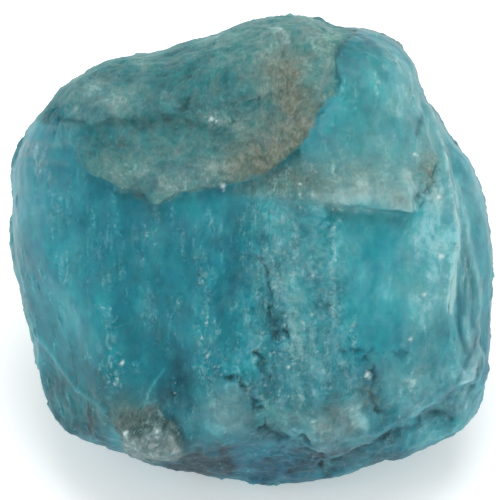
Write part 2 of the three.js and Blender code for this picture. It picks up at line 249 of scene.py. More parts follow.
# %% Places and surroundings
count = len(dense.vertices)
flat = np.zeros(count * 3)
dense.vertices.foreach_get("co", flat)
bare = to_face(flat.reshape(-1, 3))
u, v, w = bare.T

ends = np.zeros(len(dense.edges) * 2, dtype=np.int64)
dense.edges.foreach_get("vertices", ends)
start, end = ends.reshape(-1, 2).T
neighbours = np.bincount(start, minlength=count) + np.bincount(end, minlength=count)


def averaged(values, rounds):
    """Values at the points, each replaced by the mean of itself and its neighbours, again and again."""
    for _ in range(rounds):
        total = np.bincount(start, values[end], count) + np.bincount(end, values[start], count)
        values = 0.5 * values + 0.5 * total / neighbours
    return values


def step(values, low, high):
    """0 below low, 1 above high and a smooth rise between."""
    t = np.clip((values - low) / (high - low), 0, 1)
    return t * t * (3 - 2 * t)


# %% Bridge the pit
PIT = (2.1, -5.7)
PIT_SIZE = 2.4  # mm
BRIDGING_ROUNDS = 300

inside_pit = (np.hypot(u - PIT[0], v - PIT[1]) < PIT_SIZE) & (w > 0)
for _ in range(BRIDGING_ROUNDS):
    w[inside_pit] = averaged(w, 1)[inside_pit]
dense.vertices.foreach_set("co", to_scene(bare).ravel())
dense.update()
print("bridged points:", int(inside_pit.sum()))

# %% Where the skin faces, and what stands out
NEARBY = 44  # rounds of averaging that reach over about a millimetre

dense.vertices.foreach_get("normal", flat)
outward = flat.reshape(-1, 3) @ FACE_AXES.T
front = step(outward[:, 2], -0.1, 0.25) * step(w, -1.0, 0.5)


def standing_out(rounds):
    """How far in mm each point stands out of its averaged surroundings."""
    return sum((bare[:, k] - averaged(bare[:, k], rounds)) * outward[:, k] for k in range(3))


stands_out = standing_out(NEARBY)
print("front points:", int(front.sum()), " steps reach", round(float(np.abs(stands_out).max()), 2), "mm")

# %% [markdown]
# ## Noise with a size in millimetres
#
# Stone is never even, so each carving is broken up by noise. The waves are given in millimetres, one length
# for all directions or three for u, v and w: long waves along v make the streaks of the growth. Chips are the
# cells of a Voronoi pattern, each a small plane tilted its own way, which is how beryl breaks.
# Two slow noises make the borders of zones and chips wander, and two fast ones make cracks tremble. A ruled
# line would look drawn on.

# %% Waves, grains and chips
def scaled(length, shift):
    """The bare places measured in wave lengths, as a list for Blender's noise."""
    return (bare / np.array(length) + shift).tolist()


def waves(length, shift=0.0):
    """Smooth noise of about -1 to 1."""
    return np.array([noise.noise(place) for place in scaled(length, shift)])


def rough(length, shift=0.0, octaves=4):
    """Noise of about -1 to 1 with finer and finer waves on it."""
    return np.array([noise.fractal(place, 0.8, 2.0, octaves) for place in scaled(length, shift)])


# %% Wandering and trembling
wander_u = 0.5 * waves(2.4, 3.1) + 0.2 * waves(0.8, 7.7)
wander_v = 0.5 * waves(2.4, 9.3) + 0.2 * waves(0.8, 1.9)
wander_u += 2.4 * waves((30, 30, 5), 4.2) * step(v, 12, 15) * step(-w, -5, 0)  # wider over the top
warped = bare + 0.9 * np.array([wander_u, wander_v, wander_u - wander_v]).T
tremble_u = waves(0.75, 6.6) + 0.5 * waves(0.33, 2.8)
tremble_v = waves(0.75, 4.1) + 0.5 * waves(0.33, 8.2)
print("wander up to", round(float(np.abs(wander_u).max()), 2), "mm")


# %% Chips
def chips(length, shift=0.0):
    """Heights of small flat breaks with bent borders, each tilted its own way, in wave lengths."""
    heights = []
    for place in (warped / np.array(length) + shift).tolist():
        centre = noise.voronoi(place)[1][0]
        lean = noise.cell_vector(centre) - Vector((0.5, 0.5, 0.5))
        heights.append((Vector(place) - centre).dot(lean))
    return np.array(heights)


def shades(length, shift=0.0):
    """A shade of -0.5 to 0.5 for each of the breaks that chips gives with the same numbers."""
    places = (warped / np.array(length) + shift).tolist()
    return 0.5 * averaged(np.array([noise.cell(noise.voronoi(place)[1][0]) for place in places]), 3)


print("each noise is read at", count, "points")

# %% [markdown]
# ## Zones
#
# A zone is where the stone is of one kind: crust, shoulder, window, sugary middle and so on. Large ones are
# outlines [u, v] on the face, and their borders wander with the noise, so that no border is a ruled line.
# Small ones are ovals and paths. Each gives a mask: 1 inside, 0 outside, soft between.
# The crust is a layer on top of the crystal, so its border also follows the step in the skin: what stands out
# belongs to it. Behind, where no marks are placed, weathered crust lies in patches that come from noise.

# %% Distances from borders
def segment_distance(x, y, a, b):
    """Distances from the straight line between two points."""
    (ax, ay), (bx, by) = a, b
    along = ((x - ax) * (bx - ax) + (y - ay) * (by - ay)) / ((bx - ax) ** 2 + (by - ay) ** 2)
    along = np.clip(along, 0, 1)
    return np.hypot(x - ax - along * (bx - ax), y - ay - along * (by - ay))


def border_distance(outline):
    """Distance in mm from the border of an outline, positive inside, with the border wandering."""
    x, y = u + wander_u, v + wander_v
    inside = np.zeros(count, dtype=bool)
    nearest = np.full(count, np.inf)
    for (ax, ay), (bx, by) in zip(outline, outline[1:] + outline[:1]):
        nearest = np.minimum(nearest, segment_distance(x, y, (ax, ay), (bx, by)))
        if ay != by:
            inside ^= ((ay > y) != (by > y)) & (x < (bx - ax) * (y - ay) / (by - ay) + ax)
    return np.where(inside, nearest, -nearest)


def zone(outline, soft=0.5):
    """The mask of an outline on the front."""
    return front * step(border_distance(outline), -soft, soft)


def oval(place, radii):
    """The mask of an oval spot on the front, fading outwards."""
    x, y = u + wander_u - place[0], v + wander_v - place[1]
    return front * np.exp(-((x / radii[0]) ** 2 + (y / radii[1]) ** 2))


print("a spot of 1 mm covers", int((oval((0, 0), (1, 1)) > 0.5).sum()), "points")


# %% Distances from paths
def path_distance(path, wander=0.5, tremble=0.0):
    """Distance in mm from a line through the points of a path, which wanders widely and trembles finely."""
    x = u + wander * wander_u + tremble * tremble_u
    y = v + wander * wander_v + tremble * tremble_v
    nearest = np.full(count, np.inf)
    for a, b in zip(path, path[1:]):
        nearest = np.minimum(nearest, segment_distance(x, y, a, b))
    return nearest


def band(path, width, wander=0.5):
    """The mask of a band along a path, fading outwards."""
    return front * np.exp(-((path_distance(path, wander) / (width / 2)) ** 2))


print("a band of 1 mm down the middle covers", int((band([(0, -20), (0, 20)], 1.0) > 0.5).sum()), "points")

# %% Crust and shoulder
CRUST = [(-21, 11.5), (-15.6, 9.7), (-14.5, 8.4), (-13.4, 7.8), (-13.1, 6.7), (-12.2, 5.7), (-10.9, 5.2),
         (-10.1, 4.7), (-9.4, 4.4), (-8.6, 3.8), (-7.4, 3.7), (-6.2, 3.8), (-5.4, 4.3), (-4.3, 4.5),
         (-1.8, 4.9), (0.8, 5.7), (2.7, 7.1), (4.3, 8.6), (4.7, 9.6), (4.8, 10.6), (6.4, 12.1), (6.5, 13.2),
         (6.4, 14.4), (6.7, 15.8), (7.8, 17.2), (6.4, 18.6), (8.4, 21), (-21, 21)]
SHOULDER = [(6.6, 21), (6.4, 12.5), (5, 10.2), (3.8, 7.1), (4, 5.5), (5.5, 4.7), (6, 3.7), (12.4, 2.9),
            (12.7, 5.5), (13.8, 7.8), (13.3, 11), (13.5, 14), (13, 20)]
PALE_FACET = [(9.9, 16.2), (12.8, 14.2), (13.2, 11.2), (12.6, 9.6), (10.0, 10.6)]
LEDGE = [(5.2, 4.4), (7.6, 4.8), (9.7, 4.5), (11.7, 4.8), (12.0, 6.2), (12.7, 6.0), (12.5, 2.9), (10.9, 2.9),
         (9.3, 3.2), (5.4, 3.8)]
PALE_LEDGE = [(5.6, 5.8), (9.0, 6.2), (12.6, 6.4), (12.8, 2.2), (9.3, 2.2), (6.0, 2.6)]

crust_reach = border_distance(CRUST) + 1.6 * stands_out + 0.14 * (tremble_u + tremble_v)
crust = front * step(crust_reach, -0.25, 0.25)
shoulder = zone(SHOULDER) * (1 - crust)
pale_facet = zone(PALE_FACET, 0.25)
above_break = step(v + 0.5 * wander_v, 2.7, 3.1)  # the ledge ends in a sharp break
ledge = zone(LEDGE, 0.6) * above_break
ledge_glow = front * step(border_distance(PALE_LEDGE), -1.3, 1.3) * above_break
for name, mask in (("crust", crust), ("shoulder", shoulder), ("ledge", ledge)):
    print(name + ":", round(100 * float(mask.sum() / front.sum())), "% of the front's points")

# %% Window, sugary middle and rim
WINDOW = [(7.4, 2.9), (9.3, 2.9), (12.3, 2.6), (12.4, 0.5), (12, -3.6), (11.9, -7.2), (9.8, -7.9), (8.4, -7),
          (7.8, -3), (7.3, 0.2)]
SUGARY = [(-0.6, 4.7), (2.4, 6.4), (4, 5), (7, 3.2), (7.2, -2), (8, -6.6), (8.6, -11), (4, -12), (-1, -12),
          (-3.4, -9), (-0.8, -6), (-1, 0)]
RIM_GRAIN = [(12.6, 5.8), (14.2, 7.2), (15.8, 4.4), (16.2, 1.4), (15.6, -1.4), (15.2, -4.7), (15.6, -8.4),
             (12.6, -8.2), (12.4, -2), (12.6, 1)]
FISSURED = [(15.4, 7.4), (16.4, 5), (17.4, 0), (18, -5), (18.4, -8.6), (17.6, -10.6), (15.8, -8), (15.4, -3),
            (16.2, 1), (15.7, 4.6)]

window = zone(WINDOW, 0.4)
sugary = zone(SUGARY, 1.2) * (1 - crust) * (1 - window)
rim_grain = zone(RIM_GRAIN, 0.5) * (1 - window)
fissured = zone(FISSURED, 0.5)
for name, mask in (("window", window), ("sugary middle", sugary), ("rim", rim_grain), ("fissures", fissured)):
    print(name + ":", round(100 * float(mask.sum() / front.sum())), "% of the front's points")

# %% Matrix, breaks and back
MATRIX = [(-10.7, -13.2), (-9.5, -12.3), (-8.2, -11.9), (-6.9, -12.4), (-5.7, -13.6), (-5.0, -15.4),
          (-5.4, -16.0), (-7.6, -16.5), (-9.6, -16.1), (-10.2, -14.6)]
PLATE = [(-9.7, -13.8), (-8.7, -14.3), (-7.5, -13.9), (-6.4, -14.0), (-5.3, -15.4), (-5.6, -15.9),
         (-7.6, -16.4), (-9.6, -16.1), (-10, -15)]
LOWER_BREAKS = [(-17.6, -7), (-13.4, -10.4), (-10.8, -12.6), (-4, -11.4), (4, -11.6), (9, -9.6), (15, -8.6),
                (20, -9), (20, -21), (-20, -21), (-20, -7)]

lower_breaks = zone(LOWER_BREAKS, 1.0)
matrix = zone(MATRIX, 0.2)
plate = zone(PLATE, 0.2)
back = 1 - front
weathered = back * step(1.3 * waves((9, 11, 9), 12.0) + 0.4 * rough(2.6, 5.0) + 0.04 * (v - 2), -0.2, 0.05)
print("lower breaks:", round(100 * float(lower_breaks.sum() / front.sum())), "% of the front's points")
print("weathered crust:", round(100 * float(weathered.sum() / back.sum())), "% of the back's points")

# %% [markdown]
# ## Carving
#
# Real ledges, pits, cracks and grain catch the light from every side, and they are still there when the stone
# is turned or exported, so they are moved points and not only bumps in the finish. Every carving is a height
# in mm along the direction in which the skin faces, and all heights are added up before any point moves.
# - The growth leaves fine ridges along v on the broad face.
# - The sugary middle and the rims are granular: short waves, drawn out a little along v.
# - The crust is lumpy and blistered.
# - The breaks below and behind are chips.
# - Where the solid has an edge and the stone bends round softly, the skin is pulled towards its surroundings.
# - Cracks and pits are paths with a depth that opens and closes. Fissures are thinner and even, as beryl
#   splits along its growth, and a seam of the same kind runs where the crust meets the crystal.

# %% Where the stone is granular and where it is glassy
STREAKS = [  # rough stripes along the growth, between glassy bands
    {"path": [(-11.6, 0.5), (-11.2, -6.3), (-10.6, -10.2)], "width": 2.4},
    {"path": [(-3.9, 1.5), (-3.6, -5.9), (-3.3, -11.4)], "width": 2.8},
    {"path": [(-14.7, 5), (-14.6, 1.6), (-14, -2.4)], "width": 2.0},
    {"path": [(-7.6, 3), (-8.1, -2), (-8, -6)], "width": 1.4},
]

streaks = np.clip(sum(band(s["path"], s["width"]) for s in STREAKS), 0, 1) * (1 - crust)
fibres = rough((0.5, 2.6, 1.0), 4.0) + 0.6 * rough((1.3, 3.2, 1.5), 11.0, 3)
veins = step(fibres + 0.5 * streaks + 0.25 * sugary, 0.3, 0.75) * (1 - crust) * (1 - 0.85 * window)
breaks = lower_breaks * (1 - matrix)
grainy = 0.75 * sugary + 0.3 * rim_grain + 0.7 * veins * (1 - 0.5 * rim_grain) + 0.4 * breaks * step(u, -4, 4)
grainy = np.clip(grainy, 0, 1)
glassy = np.clip(1 - grainy - crust - lower_breaks - 0.7 * back - fissured, 0, 1) * (1 - 0.5 * shoulder)
print("veins run through", round(100 * float(veins.mean())), "% of the points")

# %% Ridges of growth, grains, lumps and chips
height = 0.015 * waves((0.6, 7, 1.2), 2.0) * (1 - crust) * (1 - lower_breaks)
height += 0.07 * waves((1.6, 9, 2), 5.0) * (1 - crust) * front
height += 0.04 * veins
height += grainy * (1 - 0.5 * rim_grain) * (0.15 * rough((0.7, 1.0, 0.7), 4.0) + 0.05 * rough(0.32, 8.0, 2))
height += crust * (0.15 * rough(1.9, 1.0) + 0.09 * rough(0.6, 6.0, 3) + 0.1 * chips(1.8, 2.0))
height += breaks * (0.3 * averaged(chips((2.4, 2.8, 5.0), 5.0), 6) + 0.14 * rough((1.4, 1.2, 3.0), 3.0))
height += breaks * 0.06 * averaged(chips((1.0, 0.9, 2.0), 8.0), 2)
height += back * (0.7 * chips((3.6, 5.5, 3.6), 1.0) + 0.3 * chips(1.6, 4.0) + 0.1 * rough(0.9, 2.0))
height += back * (1 - weathered) * 0.12 * waves((0.7, 6, 0.7), 3.0)
height += 0.05 * rim_grain * averaged(chips((0.9, 2.6, 0.9), 6.0), 2)
height += fissured * 0.05 * rough((0.5, 3.0, 1.0), 6.0, 2)
height += shoulder * (0.08 * rough(1.6, 7.0, 3) + 0.1 * chips(2.4, 3.0))
height += ledge * 0.08 * rough(0.6, 5.0, 3)
height += matrix * (0.1 + 0.08 * rough(0.8, 7.0)) * (1 - 0.7 * plate) + 0.25 * averaged(plate, 3)
height += glassy * 0.02 * rough(1.2, 6.0)
print("carved between", round(float(height.min()), 2), "and", round(float(height.max()), 2), "mm")

# %% Soften three edges
ABOVE_LEDGE = [(6.4, 5.4), (9.7, 5.5), (12.4, 5.8)]  # the shoulder runs into the ledge without a lip
LEFT_CREASE = [(-18.8, 3.5), (-17.4, -1.5), (-15.4, -6), (-12.9, -9.2)]  # here the face bends round
SHELF_END = [(-2.4, 10.0), (-0.4, 10.1), (1.4, 11.3), (2.8, 12.8)]  # here the shelf in the crust fades away
FAR_AND_WIDE = 220  # rounds of averaging, for edges as wide as the left crease
HALFWAY = 120  # the same, for the two narrower edges

height -= 0.9 * band(LEFT_CREASE, 4.4, 0.3) * standing_out(FAR_AND_WIDE)
softened = np.maximum(band(ABOVE_LEDGE, 3.0, 0.3), band(SHELF_END, 3.4, 0.3))
height += softened * (averaged(w, HALFWAY) - w) / np.maximum(outward[:, 2], 0.5)
print("softened", int((softened > 0.5).sum()), "points")

# %% Cracks and pits
CRACKS = [
    {"name": "above the pit", "path": [(0.8, -0.9), (1.1, -2.7), (1.4, -4.3), (1.9, -5.3)],
     "width": 0.3, "depth": 0.18},
    {"name": "middle pit", "path": [(1.5, -4.7), (1.9, -5.5), (1.7, -6.4)], "width": 0.9, "depth": 0.4},
    {"name": "pit's branch", "path": [(1.9, -5.5), (2.6, -6.0), (3.0, -7.4)], "width": 0.6, "depth": 0.3},
    {"name": "pit's foot", "path": [(0.4, -8), (0.8, -9), (1.3, -10)], "width": 0.7, "depth": 0.35},
    {"name": "foot notch", "path": [(1.3, -13.2), (1.8, -13.9), (2.5, -14.9)], "width": 0.6, "depth": 0.35},
    {"name": "under the window", "path": [(6.8, -7.2), (8.0, -7.5), (9.2, -7.9)],
     "width": 0.5, "depth": 0.07},
    {"name": "under the window, right", "path": [(10.5, -8.1), (11.9, -8.4)], "width": 0.5, "depth": 0.05},
    {"name": "behind the rim", "path": [(14.1, 6.4), (13.6, 5), (12.9, 3.4)], "width": 0.6, "depth": 0.25},
    {"name": "right foot", "path": [(3.8, -14.7), (5.1, -15.5), (5.8, -17.2)], "width": 0.7, "depth": 0.4},
    {"name": "crust against shoulder", "path": [(5.9, 12.3), (5.2, 11.4), (4.5, 10.3), (3.8, 8)],
     "width": 0.4, "depth": 0.15},
    {"name": "pit in the crust", "path": [(-5.2, 11), (-5, 11.1)], "width": 0.5, "depth": 0.2},
    {"name": "break below the window", "path": [(8.5, -8.4), (9.6, -9.8), (9.2, -11.4), (10.4, -12.4)],
     "width": 0.4, "depth": 0.25},
    {"name": "foot of the sugary middle", "path": [(-1.6, -9.6), (-0.2, -10.9), (0.4, -12.4)],
     "width": 0.5, "depth": 0.25},
]

opening = 0.25 + 0.75 * step(waves(1.3, 4.4), -0.3, 0.2)  # a crack closes and opens again
# the mask of the cracks; the tones paint them darker, a painted shade in them
cracks = np.zeros(count)
for crack in CRACKS:
    off_line = path_distance(crack["path"], 0.8, 0.5) / (crack["width"] * (0.4 + 0.6 * opening))
    mask = front * opening * np.exp(-((2 * off_line) ** 2))
    height -= crack["depth"] * mask
    cracks = np.maximum(cracks, mask)
print(len(CRACKS), "cracks and pits")

# %% Fissures, the crust's seam and old cracks behind
FISSURES = [  # nearly parallel lines
    [(14.6, 9.4), (15.1, 7.6), (15.6, 4.7), (16.2, 1.4), (16.5, -1.5), (16.4, -5.0)],
    [(16.0, 3.2), (16.6, 0.4), (17.1, -2.6), (17.2, -6.0)],
    [(15.7, 0.4), (15.9, -2.2), (16.1, -6.2), (16.6, -8.0)],
    [(16.4, 1.0), (17.4, -3.5), (17.8, -7.5)],
    [(14.8, -11.7), (16, -10.2), (17.1, -7.8), (17.7, -6.3)],
    [(16.4, -12.2), (17.5, -10.2), (18.1, -7.8)],
    [(-7.2, -12.0), (-6.1, -12.9), (-5.3, -14.2), (-4.9, -15.8)],
    [(-14.9, 10.2), (-13.8, 10.0), (-12.9, 9.9)],
    [(14.4, 12.3), (13.5, 11.4), (13.1, 10.2), (12.9, 9.0)],
    [(16.0, 9.8), (15.1, 8.9)],
    [(6.2, -16.4), (8.7, -15.2), (11.4, -14.0), (13.0, -13.5)],
    [(13.8, -12.6), (14.8, -12.6), (15.6, -13.2)],
]
FISSURE_DEPTH = 0.07  # mm
FISSURE_WIDTH = 0.4  # mm

at_edges = np.clip(step(outward[:, 2], 0.25, 0.6) + step(np.abs(stands_out), 0.03, 0.15), 0, 1)
thin_lines = [band(path, FISSURE_WIDTH, 0.3) * at_edges for path in FISSURES]
thin_lines.append(front * np.exp(-((2 * crust_reach / FISSURE_WIDTH) ** 2)) * step(v, 11, 13))  # the seam
for mask in thin_lines:
    height -= FISSURE_DEPTH * mask
    cracks = np.maximum(cracks, mask)
seams = back * step(-np.abs(waves((4, 6, 4), 6.1) + 0.3 * wander_u), -0.045, -0.01)  # old cracks behind
seams = seams * step(waves(2.2, 1.7), -0.25, 0.15)
height -= 0.22 * seams
print(len(FISSURES), "fissures")

# %% Fine ridges, with a painted highlight along them
FINE_RIDGES = [
    {"name": "edge of the lower left facet", "path": [(-16.9, -6.4), (-15.2, -8.6), (-13.4, -10.7),
     (-11.4, -12.5)], "width": 0.4, "height": 0.16, "glow": 0.3},
    {"name": "fibre", "path": [(-6.8, -9.1), (-7.7, -10.5), (-8.2, -11.8), (-8.4, -12.8)], "width": 0.2,
     "height": 0.1, "glow": 0.3},
    {"name": "right ridge", "path": [(13.6, 11.8), (14.8, 8.6), (15.6, 4.7), (16.1, 1.6), (15.7, -1),
     (15.3, -4.7)], "width": 0.45, "height": 0.1, "glow": 0.55},
]

# the two edges are painted lighter along their crest, a painted highlight; the fibre is pale in itself
ridge_highlights_and_fibre = np.zeros(count)
unbroken = (0.6 + 0.4 * opening) * at_edges * step(outward[:, 2], 0.05, 0.3)
for ridge in FINE_RIDGES:
    mask = band(ridge["path"], ridge["width"], 0.3) * unbroken
    height += ridge["height"] * mask
    ridge_highlights_and_fibre = np.maximum(ridge_highlights_and_fibre, ridge["glow"] * mask)
print(len(FINE_RIDGES), "fine ridges")

# %% Move the points
REST_BAND = 1.2  # mm above the ground over which the carving fades: the stone rests where its solid does
above_ground = (bare @ FACE_AXES + MIDDLE)[:, 2]
height *= step(above_ground, 0.1, REST_BAND)
carved = bare + outward * height[:, None]
placed = to_scene(carved)
placed[:, 2] = np.maximum(placed[:, 2], 0.0)
dense.vertices.foreach_set("co", placed.ravel())
dense.update()
for polygon in dense.polygons:
    polygon.use_smooth = True
# how deep each point lies below its surroundings: the finish paints hollows darker, a painted shade, and
# ridges paler, partly bruised edges and partly a painted highlight
hollow = sum((averaged(carved[:, k], 6) - carved[:, k]) * outward[:, k] for k in range(3))
print("hollows", round(float(hollow.max()), 2), "mm deep, ridges", round(float(-hollow.min()), 2), "mm high")

# %% [markdown]
# ## Tones
#
# Two numbers make nearly all the colours of the stone. The tone goes from 0, a deep teal where the stone is
# clear and thick, to 1, a milky blue. The dust goes from 0, clear, to 1, greyed by bruises, by weathering or
# by a web of fine cracks. A third number turns the hue a little, bluer or greener.
# Named pools set them where this stone has them, and some also paint light and shade: painted shade on the
# underside, under the overhang, in the foot's dark corner and in the pits, and painted light where a ledge or
# a groove would lie in its own shade. Veins and grain raise them, fine ridges raise them, a painted highlight
# along the edges and a pale fibre, and cracks lower the tone as a painted shade in them. The back has no
# pools:
# noise alone clouds it. The tones could have been painted on, but then nobody could read why a place is dark.

# %% Pools of the left and the middle
Spot = namedtuple("Spot", "name place radii rise dust blue share", defaults=(0, 0, 0, 0))

LEFT_POOLS = [
    Spot("left face", (-17, 4.5), (2.6, 5.2), rise=0.16, dust=0.35, blue=2),
    Spot("haze at the upper left", (-16.6, 8.0), (2.6, 1.0), rise=0.06, dust=0.3),
    Spot("left bevel", (-16.4, -4.2), (1.5, 4.0), rise=-0.04, dust=-0.3),
    Spot("left pool", (-13.4, -4.7), (2.6, 3.4), rise=0.1, dust=0.06),
    Spot("dark column, left", (-9.4, -3), (1.2, 5), rise=-0.06),
    Spot("dark column, middle", (-5.7, 0.4), (1.3, 4), rise=-0.05),
    Spot("dark column, right", (-1.6, -2.5), (1.0, 4.4), rise=-0.1, dust=-0.05),
    Spot("deepest", (-5.6, -10.6), (1.7, 2.4), rise=-0.38),
    Spot("sugary veil", (3.4, -1.0), (3.6, 6.4), rise=0.2, dust=0.5, blue=-2),
    # painted shade: the pit is painted darker around its cracks
    Spot("around the pit", (1.8, -5.6), (0.8, 1.3), rise=-0.2),
    Spot("beside the pit", (3.0, -5.8), (0.7, 1.1), rise=0.14, dust=0.3),
    Spot("sugary foot", (4.2, -8.8), (3.6, 2.6), rise=0.1, dust=0.35),
    Spot("pale edge of the crust", (-6.2, 5.6), (4.5, 1.4), blue=4),
    Spot("pale patch of the crust", (-11.8, 11.4), (4, 2), blue=5),
]
print(len(LEFT_POOLS), "pools on the left and in the middle")

# %% Pools of the shoulder, the window and the rim
RIGHT_POOLS = [
    Spot("shoulder, inner", (8.1, 12.5), (2.4, 5.2), rise=0.14, dust=0.1, blue=-4),
    Spot("shoulder, outer", (11.6, 12.0), (1.9, 3.6), rise=0.34, dust=0.4, blue=-3),
    Spot("edge of the shoulder", (12.9, 13.2), (0.7, 2.0), rise=-0.26),
    Spot("second plate", (13.9, 9.0), (1.3, 2.2), rise=0.17, dust=0.65, blue=-3),
    Spot("below the shoulder", (9.3, 6.6), (4.4, 3.0), rise=0.22, dust=0.5, blue=-2),
    Spot("window", (9.6, -2.2), (2.8, 5.4), rise=0.26),
    # painted light on the next two: the slope left of the ledge, partly pale itself, and the strip below the
    # ledge are lightened against the shade of the ledge's step
    Spot("left of the ledge", (5.2, 4.6), (1.6, 1.0), rise=0.2, dust=0.4),
    Spot("below the ledge", (9.6, 2.3), (2.8, 0.7), rise=0.12, dust=-0.2),
    Spot("rim", (14.3, 1.8), (1.9, 3.8), rise=0.45, dust=0.22),
    Spot("top of the rim", (14.0, 3.9), (1.5, 1.3), rise=0.1, dust=0.3),
    Spot("lower rim", (13.6, -4.6), (1.9, 4.4), rise=0.32, dust=0.45, blue=-2),
    Spot("outer slab", (17.5, 4.8), (1.9, 5.8), rise=0.29, dust=0.36),
    Spot("fissured band", (16.8, -3.2), (1.4, 4.4), rise=0.21, dust=0.3),
    # painted light: the groove is lightened against its own shade
    Spot("groove behind the rim", (15.7, -3.0), (0.8, 3.4), rise=0.14),
    Spot("top of the shoulder", (8.4, 15.6), (2.6, 2.2), rise=-0.3, dust=0.3, blue=-2),
    Spot("bright block", (11.4, -10.0), (2.2, 1.8), rise=0.16, dust=0.1),
    Spot("lower right", (13.4, -11.6), (4.2, 2.8), rise=0.1, dust=0.45),
    Spot("lower slab", (17.1, -10.2), (1.5, 2.6), rise=0.3, dust=0.3, blue=3),
]
print(len(RIGHT_POOLS), "pools on the right")

# %% Pools of the foot
FOOT_POOLS = [
    Spot("left foot", (-12.8, -14.2), (3.0, 1.3), rise=-0.2, dust=-0.5),
    Spot("lower left facet", (-14, -11.8), (4.0, 3.3), rise=-0.42, dust=-0.5, blue=-4),
    Spot("pale foot, left", (-1.8, -12.7), (2.1, 1.9), rise=0.16, dust=0.7),
    Spot("pale foot, right", (6.2, -13.7), (2.2, 2.6), rise=0.27, dust=0.9),
    Spot("between the feet", (2.4, -13.2), (1.6, 1.6), rise=-0.1, dust=0.3),
    # painted shade: the underside and its left part are darker where they turn from the light; the underside's
    # blue and dust are its colour
    Spot("underside", (1.2, -17.0), (4.8, 1.9), rise=-0.17, dust=0.08, blue=7),
    Spot("underside, left", (-2.4, -15.7), (2.6, 0.9), rise=-0.24),
    Spot("dark crescent", (4.3, -15.8), (1.2, 1.2), rise=-0.3, dust=-0.2),
    # painted shade in the dark holes
    Spot("dark holes", (1.6, -13.8), (0.9, 0.7), rise=-0.25),
    # painted shadow under the overhang, along the two ends of the underside and in the foot's dark corner
    Spot("overhang", (9.0, -16.0), (3.2, 0.9), rise=-0.34, dust=0.3),
    Spot("left edge of the underside", (-4.5, -15.4), (1.0, 1.1), rise=-0.24, dust=0.1),
    Spot("right end of the underside", (5.6, -17.2), (1.4, 0.6), rise=-0.2, dust=0.2),
    Spot("dark corner of the foot", (-4.8, -16.9), (2.7, 1.0), rise=-0.9, dust=0.2),
]
print(len(FOOT_POOLS), "pools at the foot")

# %% Pools, haze and ridges
TONE = 0.44
DUST = 0.05
HAZE = [  # thin level films beside the crust's foot
    [(-18.0, 8.2), (-16.4, 8.3), (-14.8, 8.1)],
    [(-18.2, 7.5), (-16.6, 7.5)],
    [(-17.6, 6.6), (-15.6, 6.8), (-14.2, 6.6)],
]

tone = np.full(count, TONE)
dust = np.full(count, DUST)
blue = np.zeros(count)
for pool in LEFT_POOLS + RIGHT_POOLS + FOOT_POOLS:
    mask = oval(pool.place, pool.radii)
    tone += pool.rise * mask
    dust += pool.dust * mask
    blue += pool.blue * mask
for path in HAZE:
    film = band(path, 0.5, 0.2)
    tone += 0.04 * film
    dust += 0.4 * film
# cracks lower the tone: a painted shade in them
# fine ridges add a painted highlight along the edges, and the fibre's own paleness
tone += 0.06 * veins + 0.14 * ledge_glow + 0.22 * ledge + 0.12 * pale_facet + ridge_highlights_and_fibre - 0.3 * cracks
dust += 0.15 * veins + 0.3 * ledge_glow + 0.4 * ledge + 0.2 * pale_facet + ridge_highlights_and_fibre
dust += 0.2 * fissured + 0.08 * lower_breaks
print("tone from", round(float(tone.min()), 2), "to", round(float(tone.max()), 2))

# %% Unevenness, painted shade on downward faces, and the back
SOFT_TONES = (0.12, 0.92)  # tones past these are pressed together: no part of a stone is black or white

downward = -(outward @ FACE_AXES)[:, 2]
underside = step(-v, 14.0, 15.5)
tone += 0.12 * rough((2.6, 4.5, 2.6), 3.0) + 0.08 * rough((1.1, 1.6, 1.1), 5.0)
tone += 0.4 * lower_breaks * (1 - 0.6 * underside) * shades((2.4, 2.8, 5.0), 5.0)
tone += 0.08 * (1 - lower_breaks) * shades((2.2, 4.5, 2.2), 3.0)
tone += 0.15 * underside * rough((1.5, 1.3, 5.0), 7.0, 3)
# faces that turn downwards are painted darker: a painted shade
tone -= 0.2 * front * (1 - matrix) * step(downward, 0.1, 0.8)
# the back clouds with noise, and its old cracks are painted darker: a painted shade in their grooves
tone += back * (0.3 * rough(4.0, 2.0) + 0.1 * rough((0.8, 4, 0.8), 6.0) - 0.2 * seams)
dust += 0.25 * rough((2.4, 3.0, 2.4), 8.0) + back * (0.25 + 0.4 * rough(3.0, 9.0))
deep, milky = SOFT_TONES
tone = np.where(tone > milky, milky + 0.5 * (tone - milky), tone)
tone = np.where(tone < deep, deep + 0.4 * (tone - deep), tone)
print("tone from", round(float(tone.min()), 2), "to", round(float(tone.max()), 2))

# %% [markdown]
# ## Glitter
#
# Small flat grains and flakes of mica catch the light all over the stone, and more of them where it is
# granular. Here each point gets the share of it that glitters, and the finish paints by that share pale
# flecks, partly pale grains and partly a painted highlight, and white sparks, a painted highlight, since
# single flecks are finer than the mesh. The few large glints are placed one by one and painted white: painted
# highlights.

# %% Where the stone glitters
FLECK_SPOTS = [
    Spot("left streak", (-10.7, -9.2), (1.3, 1.7), share=0.7),
    Spot("glitter in the crust", (-2.5, 10.1), (1.5, 0.9), share=0.8),
    Spot("middle streak", (-3.4, -7.5), (1.2, 4.0), share=0.5),
    Spot("around the pit", (3.0, -7.5), (2.6, 3.0), share=0.4),
    Spot("right of the crust", (4.0, 5.5), (3.0, 1.5), share=0.35),
    Spot("shoulder's corner", (14.0, 5.5), (1.2, 2.0), share=0.5),
    Spot("matrix", (-7.6, -13.6), (1.3, 1.0), share=0.8),
]
# the share of painted glitter at each point, more where the stone is granular
flecks = 0.05 + 0.28 * sugary + 0.5 * veins + 0.1 * crust + 0.1 * rim_grain + 0.1 * lower_breaks
for spot in FLECK_SPOTS:
    flecks += spot.share * oval(spot.place, spot.radii)
print(len(FLECK_SPOTS), "glittering spots")

